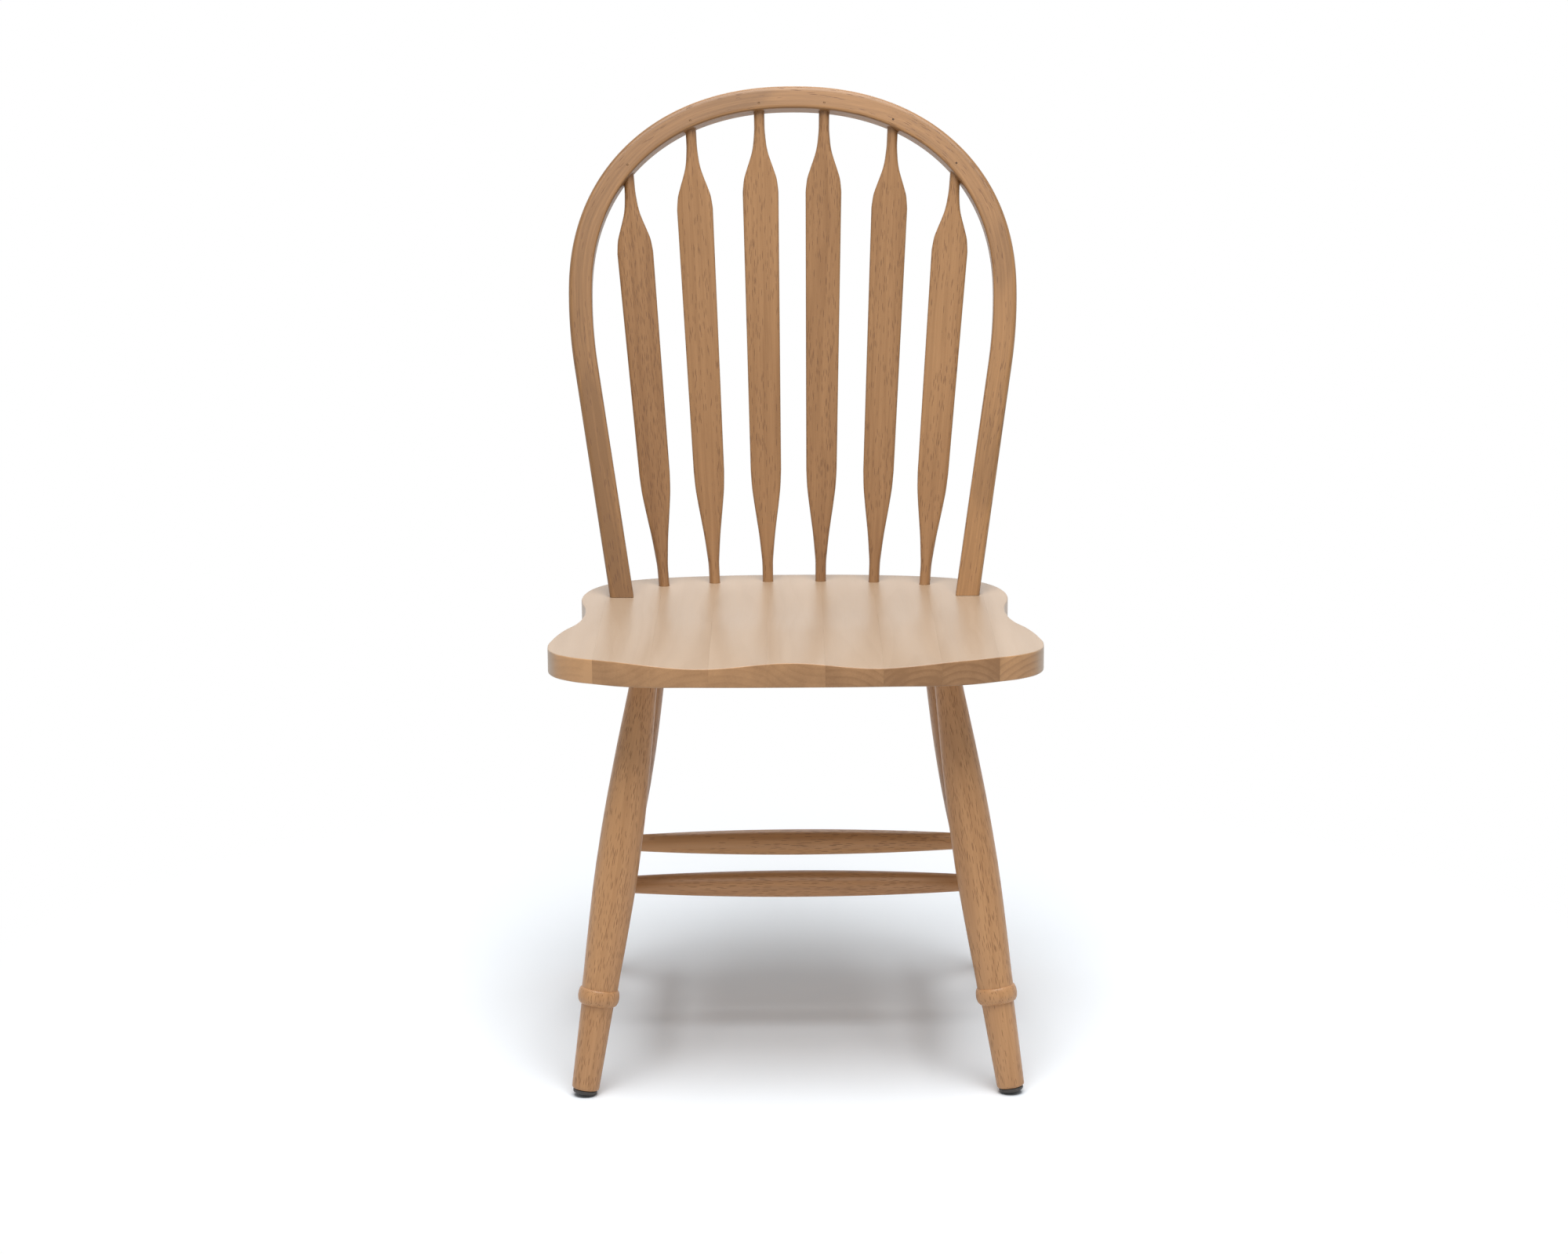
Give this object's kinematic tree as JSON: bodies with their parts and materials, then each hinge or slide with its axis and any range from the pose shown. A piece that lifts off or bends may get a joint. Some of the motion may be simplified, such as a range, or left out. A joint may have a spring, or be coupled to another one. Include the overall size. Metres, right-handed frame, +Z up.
{
  "type": "dining chair",
  "caption": "Wooden arrow back dining chair: saddled plank seat, bent hoop holding arrow spindles, and splayed turned legs joined by stretchers.",
  "frame": {"origin": "on the floor, under the middle of the chair's bounding box", "axes": "+Z up, +X to the right as seen from the front, -Y towards the front of the seat"},
  "size_m": [0.494, 0.5128, 0.9814],
  "materials": {
    "stained_wood": "satin",
    "seat_wood": "satin",
    "glide_plastic": "matt",
    "steel": "plain"
  },
  "bodies": {
    "root": {"seat_board_1": "seat_wood", "seat_board_2": "seat_wood", "seat_board_3": "seat_wood", "seat_board_4": "seat_wood", "seat_board_5": "seat_wood", "seat_board_6": "seat_wood", "seat_board_7": "seat_wood", "seat_board_8": "seat_wood", "seat_board_9": "seat_wood", "hoop": "stained_wood", "spindle_1": "stained_wood", "spindle_2": "stained_wood", "spindle_3": "stained_wood", "spindle_4": "stained_wood", "spindle_5": "stained_wood", "spindle_6": "stained_wood", "front_left_leg": "stained_wood", "front_right_leg": "stained_wood", "rear_left_leg": "stained_wood", "rear_right_leg": "stained_wood", "left_side_stretcher": "stained_wood", "right_side_stretcher": "stained_wood", "front_cross_stretcher": "stained_wood", "rear_cross_stretcher": "stained_wood", "front_left_glide": "glide_plastic", "front_left_glide_nail": "steel", "front_right_glide": "glide_plastic", "front_right_glide_nail": "steel", "rear_left_glide": "glide_plastic", "rear_left_glide_nail": "steel", "rear_right_glide": "glide_plastic", "rear_right_glide_nail": "steel", "hoop_screw_left": "steel", "hoop_screw_right": "steel", "spindle_brad_1": "steel", "spindle_brad_2": "steel", "spindle_brad_3": "steel", "spindle_brad_4": "steel", "spindle_brad_5": "steel", "spindle_brad_6": "steel"}
  },
  "joints": []
}
